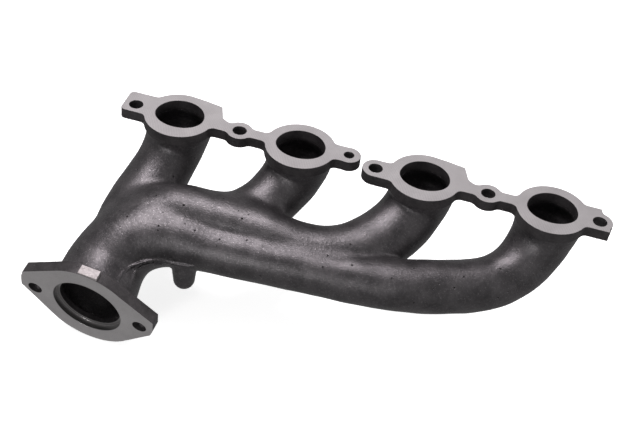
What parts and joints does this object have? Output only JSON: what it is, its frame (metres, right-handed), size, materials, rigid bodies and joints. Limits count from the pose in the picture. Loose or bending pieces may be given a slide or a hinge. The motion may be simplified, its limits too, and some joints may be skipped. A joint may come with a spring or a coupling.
{
  "type": "exhaust manifold",
  "caption": "Cast-iron log-style exhaust manifold with separate machined port flange plates, runners sweeping into one log and elbow, and a two-bolt outlet flange.",
  "frame": {"origin": "on the machined port face, midway between the two middle bolt holes", "axes": "+X along the row of ports, away from the outlet; +Y across the port face, on the side away from the log and outlet; +Z out of the port face, towards the cylinder head"},
  "size_m": [0.4693, 0.2017, 0.1423],
  "materials": {
    "cast_skin": "as-cast, fine sand texture",
    "machined_face": "milled faces, cast edges",
    "ground_pad": "ground rough"
  },
  "bodies": {
    "root": {"bolt_ear_1": "machined_face", "port_flange_1": "machined_face", "bolt_bridge_12": "machined_face", "port_flange_2": "machined_face", "bolt_ear_2": "machined_face", "bolt_ear_3": "machined_face", "port_flange_3": "machined_face", "bolt_bridge_34": "machined_face", "port_flange_4": "machined_face", "bolt_ear_4": "machined_face", "port_neck_1": "cast_skin", "port_neck_2": "cast_skin", "port_neck_3": "cast_skin", "port_neck_4": "cast_skin", "runner_1": "cast_skin", "runner_2": "cast_skin", "runner_3": "cast_skin", "runner_4": "cast_skin", "log_rear": "cast_skin", "log_middle": "cast_skin", "log_front": "cast_skin", "collector_elbow": "cast_skin", "outlet_neck": "cast_skin", "outlet_flange": "machined_face", "outlet_gate_pad": "ground_pad", "log_lug": "cast_skin"}
  },
  "joints": []
}
